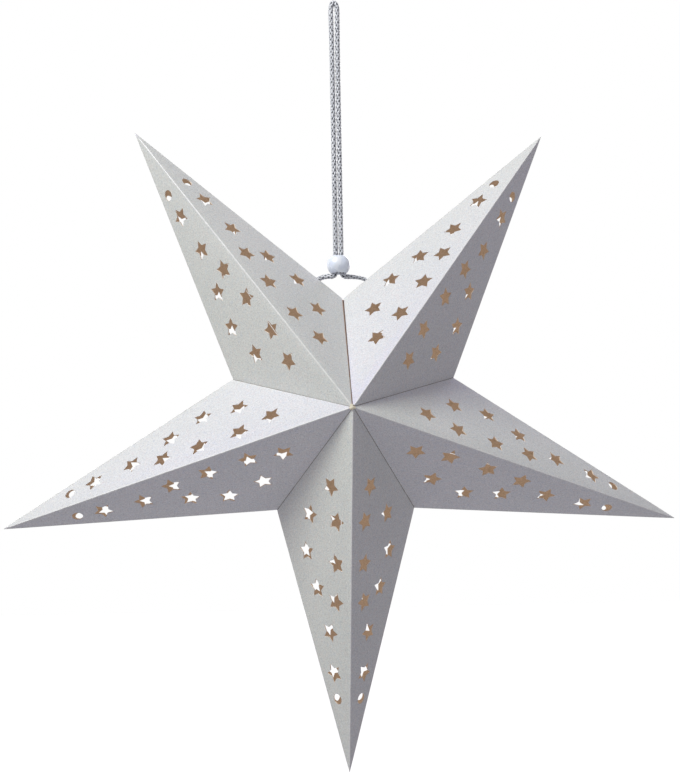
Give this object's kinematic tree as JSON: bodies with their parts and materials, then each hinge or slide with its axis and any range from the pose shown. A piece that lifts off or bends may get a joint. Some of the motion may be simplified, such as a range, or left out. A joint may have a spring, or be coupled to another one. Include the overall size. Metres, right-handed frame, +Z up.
{
  "type": "hanging paper star lantern",
  "caption": "Flat-folding card star lantern with punched star-shaped holes, hung from a doubled cord with a sliding bead.",
  "frame": {"origin": "where a hook carries the cord's loop, on the inner side of the loop's top", "axes": "+Z up, the star's front faces -Y, +X to the right of the front"},
  "size_m": [0.3006, 0.0957, 0.348],
  "materials": {
    "pearl_card": "pearl-coated card, smooth with a faint metallic sparkle, plain brown on the inside",
    "flap_card": "uncoated brown card",
    "metallic_cord": "braided silver metallic yarn",
    "pearl_bead": "glossy pearl coating"
  },
  "bodies": {
    "upper_left_arm_front_right": {"upper_left_arm_front_right_panel": "pearl_card"},
    "upper_left_arm_back_right": {"upper_left_arm_back_right_panel": "pearl_card", "cord_loop": "metallic_cord", "cord_left_knot": "metallic_cord"},
    "upper_left_arm_front_left": {"upper_left_arm_front_left_panel": "pearl_card"},
    "upper_left_arm_back_left": {"upper_left_arm_back_left_panel": "pearl_card", "upper_left_arm_closing_flap": "flap_card"},
    "left_arm_front_upper": {"left_arm_front_upper_panel": "pearl_card", "left_arm_front_glue_flap": "flap_card"},
    "left_arm_back_upper": {"left_arm_back_upper_panel": "pearl_card", "left_arm_back_glue_flap": "flap_card"},
    "left_arm_front_lower": {"left_arm_front_lower_panel": "pearl_card"},
    "left_arm_back_lower": {"left_arm_back_lower_panel": "pearl_card", "left_arm_closing_flap": "flap_card"},
    "bottom_arm_front_left": {"bottom_arm_front_left_panel": "pearl_card", "bottom_arm_front_glue_flap": "flap_card"},
    "bottom_arm_back_left": {"bottom_arm_back_left_panel": "pearl_card", "bottom_arm_back_glue_flap": "flap_card"},
    "bottom_arm_front_right": {"bottom_arm_front_right_panel": "pearl_card"},
    "bottom_arm_back_right": {"bottom_arm_back_right_panel": "pearl_card", "bottom_arm_closing_flap": "flap_card"},
    "right_arm_front_lower": {"right_arm_front_lower_panel": "pearl_card", "right_arm_front_glue_flap": "flap_card"},
    "right_arm_back_lower": {"right_arm_back_lower_panel": "pearl_card", "right_arm_back_glue_flap": "flap_card"},
    "right_arm_front_upper": {"right_arm_front_upper_panel": "pearl_card"},
    "right_arm_back_upper": {"right_arm_back_upper_panel": "pearl_card", "right_arm_closing_flap": "flap_card"},
    "upper_right_arm_front_right": {"upper_right_arm_front_right_panel": "pearl_card", "upper_right_arm_front_glue_flap": "flap_card"},
    "upper_right_arm_back_right": {"upper_right_arm_back_right_panel": "pearl_card", "upper_right_arm_back_glue_flap": "flap_card"},
    "upper_right_arm_front_left": {"upper_right_arm_front_left_panel": "pearl_card"},
    "upper_right_arm_back_left": {"upper_right_arm_back_left_panel": "pearl_card", "upper_right_arm_closing_flap": "flap_card", "cord_right_end": "metallic_cord", "cord_right_knot": "metallic_cord"},
    "bead": {"sliding_bead": "pearl_bead"}
  },
  "joints": [
    {"name": "star_fold", "type": "hinge", "parent": "upper_left_arm_back_right", "child": "upper_left_arm_front_right", "pos_m": [-0.09057, 0, -0.05978], "axis": [-0.7754, 0, 0.6314], "range_deg": [0, 77.78]},
    {"name": "upper_left_arm_ridge_fold", "type": "hinge", "parent": "upper_left_arm_front_right", "child": "upper_left_arm_front_left", "pos_m": [0.0023, -0.04738, -0.1876], "axis": [0.5624, -0.2907, -0.7741], "range_deg": [0, 75.76]},
    {"name": "upper_left_arm_to_left_arm_valley_fold", "type": "hinge", "parent": "upper_left_arm_front_left", "child": "left_arm_front_upper", "pos_m": [0.0023, -0.048, -0.1876], "axis": [-0.7001, 0.6769, 0.2275], "range_deg": [0, 118.32]},
    {"name": "left_arm_ridge_fold", "type": "hinge", "parent": "left_arm_front_upper", "child": "left_arm_front_lower", "pos_m": [0.0023, -0.04738, -0.1876], "axis": [0.91, -0.2907, 0.2957], "range_deg": [0, 78.76]},
    {"name": "left_arm_to_bottom_arm_valley_fold", "type": "hinge", "parent": "left_arm_front_lower", "child": "bottom_arm_front_left", "pos_m": [0.0023, -0.048, -0.1876], "axis": [-0.4327, 0.6769, -0.5955], "range_deg": [0, 118.32]},
    {"name": "bottom_arm_ridge_fold", "type": "hinge", "parent": "bottom_arm_front_left", "child": "bottom_arm_front_right", "pos_m": [0.0023, -0.04738, -0.1876], "axis": [0, -0.2907, 0.9568], "range_deg": [0, 78.76]},
    {"name": "bottom_arm_to_right_arm_valley_fold", "type": "hinge", "parent": "bottom_arm_front_right", "child": "right_arm_front_lower", "pos_m": [0.0023, -0.048, -0.1876], "axis": [0.4327, 0.6769, -0.5955], "range_deg": [0, 118.32]},
    {"name": "right_arm_ridge_fold", "type": "hinge", "parent": "right_arm_front_lower", "child": "right_arm_front_upper", "pos_m": [0.0023, -0.04738, -0.1876], "axis": [-0.91, -0.2907, 0.2957], "range_deg": [0, 78.76]},
    {"name": "right_arm_to_upper_right_arm_valley_fold", "type": "hinge", "parent": "right_arm_front_upper", "child": "upper_right_arm_front_right", "pos_m": [0.0023, -0.048, -0.1876], "axis": [0.7001, 0.6769, 0.2275], "range_deg": [0, 118.32]},
    {"name": "upper_right_arm_ridge_fold", "type": "hinge", "parent": "upper_right_arm_front_right", "child": "upper_right_arm_front_left", "pos_m": [0.0023, -0.04738, -0.1876], "axis": [-0.5624, -0.2907, -0.7741], "range_deg": [0, 75.76]},
    {"name": "upper_left_arm_left_edge_fold", "type": "hinge", "parent": "upper_left_arm_front_left", "child": "upper_left_arm_back_left", "pos_m": [-0.09057, 0, -0.05978], "axis": [-0.3609, 0, 0.9326], "range_deg": [0, 77.83]},
    {"name": "left_arm_upper_edge_fold", "type": "hinge", "parent": "left_arm_front_upper", "child": "left_arm_back_upper", "pos_m": [-0.14797, 0, -0.23642], "axis": [0.8402, 0, 0.5424], "range_deg": [0, 77.83]},
    {"name": "left_arm_lower_edge_fold", "type": "hinge", "parent": "left_arm_front_lower", "child": "left_arm_back_lower", "pos_m": [-0.14797, 0, -0.23642], "axis": [-0.9985, 0, -0.0551], "range_deg": [0, 77.83]},
    {"name": "bottom_arm_left_edge_fold", "type": "hinge", "parent": "bottom_arm_front_left", "child": "bottom_arm_back_left", "pos_m": [0.0023, 0, -0.3456], "axis": [-0.2562, 0, 0.9666], "range_deg": [0, 77.83]},
    {"name": "bottom_arm_right_edge_fold", "type": "hinge", "parent": "bottom_arm_front_right", "child": "bottom_arm_back_right", "pos_m": [0.0023, 0, -0.3456], "axis": [-0.2562, 0, -0.9666], "range_deg": [0, 77.83]},
    {"name": "right_arm_lower_edge_fold", "type": "hinge", "parent": "right_arm_front_lower", "child": "right_arm_back_lower", "pos_m": [0.15257, 0, -0.23642], "axis": [-0.9985, 0, 0.0551], "range_deg": [0, 77.83]},
    {"name": "right_arm_upper_edge_fold", "type": "hinge", "parent": "right_arm_front_upper", "child": "right_arm_back_upper", "pos_m": [0.15257, 0, -0.23642], "axis": [0.8402, 0, -0.5424], "range_deg": [0, 77.83]},
    {"name": "upper_right_arm_right_edge_fold", "type": "hinge", "parent": "upper_right_arm_front_right", "child": "upper_right_arm_back_right", "pos_m": [0.09517, 0, -0.05978], "axis": [-0.3609, 0, -0.9326], "range_deg": [0, 77.83]},
    {"name": "upper_right_arm_left_edge_fold", "type": "hinge", "parent": "upper_right_arm_front_left", "child": "upper_right_arm_back_left", "pos_m": [0.09517, 0, -0.05978], "axis": [0.7754, 0, 0.6314], "range_deg": [0, 77.83]},
    {"name": "bead_slide", "type": "slide", "parent": "upper_left_arm_back_right", "child": "bead", "axis": [-0.0063, -0.0251, 0.9997], "range_m": [0, 0.095]}
  ],
  "couplings": [
    {"joint": "upper_left_arm_ridge_fold", "follows": "star_fold", "ratio": 0.97339},
    {"joint": "upper_left_arm_to_left_arm_valley_fold", "follows": "star_fold", "ratio": 1.5206},
    {"joint": "left_arm_ridge_fold", "follows": "star_fold", "ratio": 1.012},
    {"joint": "left_arm_to_bottom_arm_valley_fold", "follows": "star_fold", "ratio": 1.5206},
    {"joint": "bottom_arm_ridge_fold", "follows": "star_fold", "ratio": 1.012},
    {"joint": "bottom_arm_to_right_arm_valley_fold", "follows": "star_fold", "ratio": 1.5206},
    {"joint": "right_arm_ridge_fold", "follows": "star_fold", "ratio": 1.012},
    {"joint": "right_arm_to_upper_right_arm_valley_fold", "follows": "star_fold", "ratio": 1.5206},
    {"joint": "upper_right_arm_ridge_fold", "follows": "star_fold", "ratio": 0.97339},
    {"joint": "upper_left_arm_left_edge_fold", "follows": "star_fold", "ratio": 1},
    {"joint": "left_arm_upper_edge_fold", "follows": "star_fold", "ratio": 1},
    {"joint": "left_arm_lower_edge_fold", "follows": "star_fold", "ratio": 1},
    {"joint": "bottom_arm_left_edge_fold", "follows": "star_fold", "ratio": 1},
    {"joint": "bottom_arm_right_edge_fold", "follows": "star_fold", "ratio": 1},
    {"joint": "right_arm_lower_edge_fold", "follows": "star_fold", "ratio": 1},
    {"joint": "right_arm_upper_edge_fold", "follows": "star_fold", "ratio": 1},
    {"joint": "upper_right_arm_right_edge_fold", "follows": "star_fold", "ratio": 1},
    {"joint": "upper_right_arm_left_edge_fold", "follows": "star_fold", "ratio": 1}
  ]
}
